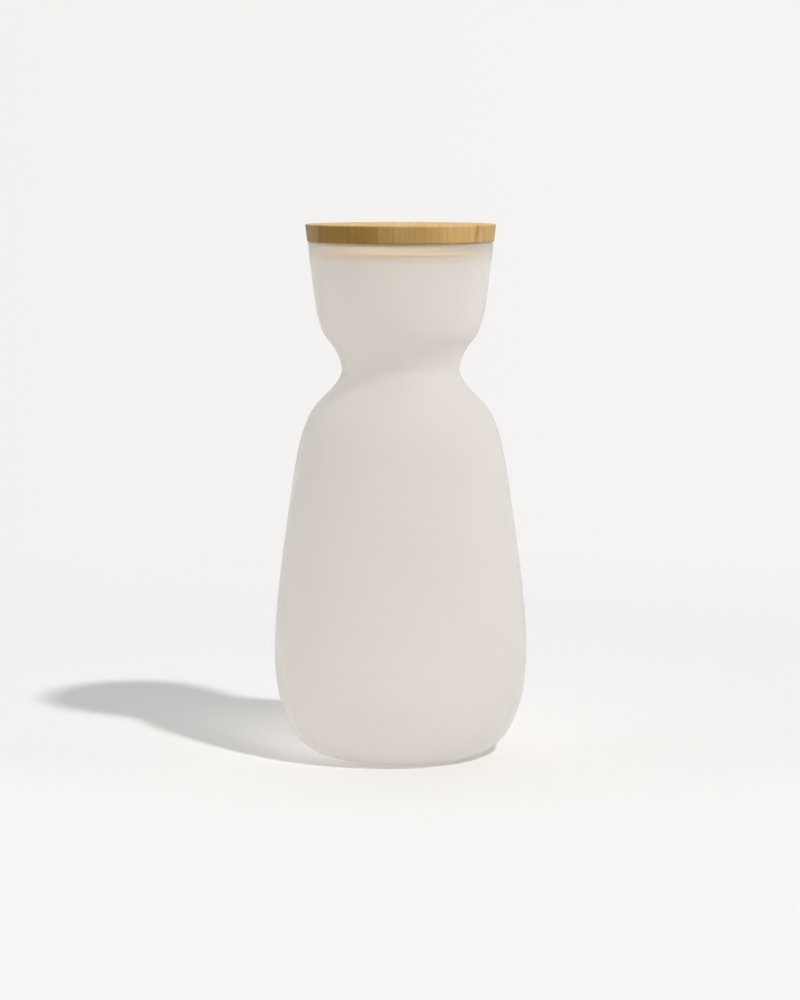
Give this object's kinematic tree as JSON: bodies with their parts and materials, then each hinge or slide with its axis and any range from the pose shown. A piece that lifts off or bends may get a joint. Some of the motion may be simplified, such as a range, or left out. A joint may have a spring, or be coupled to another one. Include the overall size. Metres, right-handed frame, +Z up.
{
  "type": "glass carafe",
  "caption": "Frosted glass carafe with a low round belly, a narrow waist to hold it by and a bowl shaped mouth, closed by a bamboo lid with a silicone ring.",
  "frame": {"origin": "centre of the foot ring, on the table", "axes": "+Z up along the axis of the carafe; -Y towards the picture's viewer, and the lid's strips run along Y"},
  "size_m": [0.12, 0.12, 0.25],
  "materials": {
    "frosted_glass": "milky frosted",
    "bamboo_pale": "oiled satin bamboo, pale strip",
    "bamboo_mid": "oiled satin bamboo, middle strip",
    "bamboo_deep": "oiled satin bamboo, dark strip",
    "silicone": "translucent satin silicone"
  },
  "bodies": {
    "glass": {"glass_body": "frosted_glass"},
    "lid": {"lid_strip_01": "bamboo_mid", "lid_strip_02": "bamboo_deep", "lid_strip_03": "bamboo_deep", "lid_strip_04": "bamboo_deep", "lid_strip_05": "bamboo_deep", "lid_strip_06": "bamboo_mid", "lid_strip_07": "bamboo_mid", "lid_strip_08": "bamboo_mid", "lid_strip_09": "bamboo_mid", "lid_strip_10": "bamboo_pale", "lid_strip_11": "bamboo_pale", "lid_strip_12": "bamboo_pale", "lid_strip_13": "bamboo_pale", "seal_ring": "silicone"}
  },
  "joints": [
    {"name": "lid_lift", "type": "slide", "parent": "glass", "child": "lid", "axis": [0, 0, 1], "range_m": [0, 0.06]}
  ]
}
